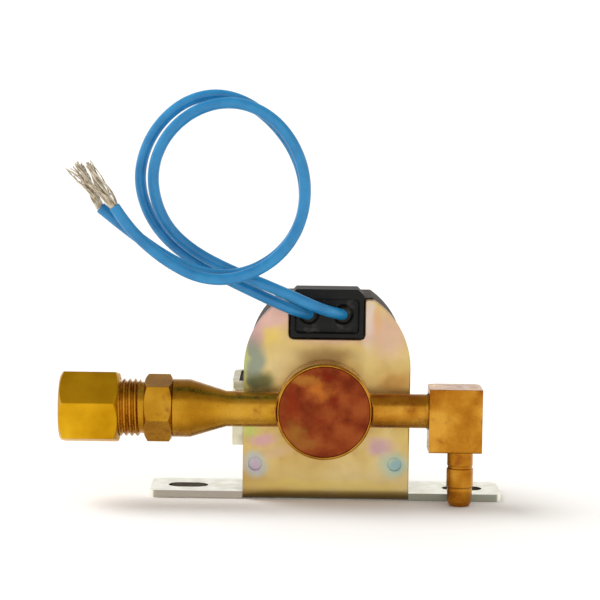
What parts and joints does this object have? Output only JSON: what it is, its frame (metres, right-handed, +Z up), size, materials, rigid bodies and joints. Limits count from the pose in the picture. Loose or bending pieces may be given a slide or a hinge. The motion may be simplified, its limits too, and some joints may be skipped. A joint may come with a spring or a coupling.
{
  "type": "solenoid valve",
  "caption": "Small direct-acting solenoid valve on a slotted bracket, with a compression inlet, an elbow hose outlet and two blue flying leads.",
  "frame": {"origin": "centre of the two mounting slots, on the underside of the bracket's foot", "axes": "+X from inlet to outlet, +Y from the front disc back along the plunger's axis, +Z up from the foot"},
  "size_m": [0.0847, 0.0369, 0.0786],
  "materials": {
    "chromated_steel": "yellow chromate over zinc, satin",
    "zinc_steel": "zinc plated, satin",
    "brass_nut": "machined, bright",
    "brass_fitting": "machined, slightly dull",
    "brass_body": "brazed and pickled",
    "copper_plug": "oxidised copper colour, mottled",
    "stainless": "drawn",
    "soft_iron": "turned",
    "shading_copper": "bright copper",
    "spring_steel": "drawn wire",
    "winding_copper": "enamelled copper",
    "winding_tape": "polyester tape",
    "bobbin_nylon": "moulded",
    "coil_moulding": "dark brown thermoset",
    "block_moulding": "black thermoset",
    "potting_resin": "cast resin",
    "elastomer": "moulded",
    "lead_insulation": "extruded blue insulation",
    "tinned_strands": "tinned copper"
  },
  "bodies": {
    "valve": {"mounting_bracket": "chromated_steel", "coil_yoke": "zinc_steel", "valve_body": "brass_body", "front_plug": "copper_plug", "seat_nozzle": "brass_fitting", "body_oring": "elastomer", "guide_tube": "stainless", "plunger_spring": "spring_steel", "fixed_core": "soft_iron", "shading_ring": "shading_copper", "retaining_clip": "spring_steel", "coil_bobbin": "bobbin_nylon", "coil_winding": "winding_copper", "winding_tape": "winding_tape", "coil_overmould": "coil_moulding", "terminal_block": "block_moulding", "terminal_potting": "potting_resin", "terminal_pins": "brass_fitting", "inlet_fitting": "brass_fitting", "inlet_barrel": "brass_fitting", "inlet_strainer": "stainless", "outlet_arm": "brass_body", "outlet_elbow": "brass_body", "outlet_spigot": "brass_body", "lead_wire_a": "lead_insulation", "lead_wire_b": "lead_insulation", "lead_strands_a": "tinned_strands", "lead_strands_b": "tinned_strands"},
    "plunger": {"plunger": "soft_iron", "plunger_seal": "elastomer"},
    "sleeve": {"compression_sleeve": "brass_nut"},
    "nut": {"compression_nut": "brass_nut"}
  },
  "joints": [
    {"name": "plunger_slide", "type": "slide", "parent": "valve", "child": "plunger", "axis": [0, 1, 0], "range_m": [0, 0.0012], "stiffness_N_per_m": 300, "springref_m": -0.004, "deforming": ["plunger_spring"]},
    {"name": "nut_travel", "type": "slide", "parent": "valve", "child": "sleeve", "axis": [-1, 0, 0], "range_m": [0, 0.00635]},
    {"name": "nut_turn", "type": "hinge", "parent": "sleeve", "child": "nut", "pos_m": [-0.045, -0.01105, 0.0181], "axis": [-1, 0, 0], "range_deg": [0, 2160]}
  ],
  "couplings": [
    {"joint": "nut_travel", "follows": "nut_turn", "m_per_rad": 0.00016839}
  ]
}
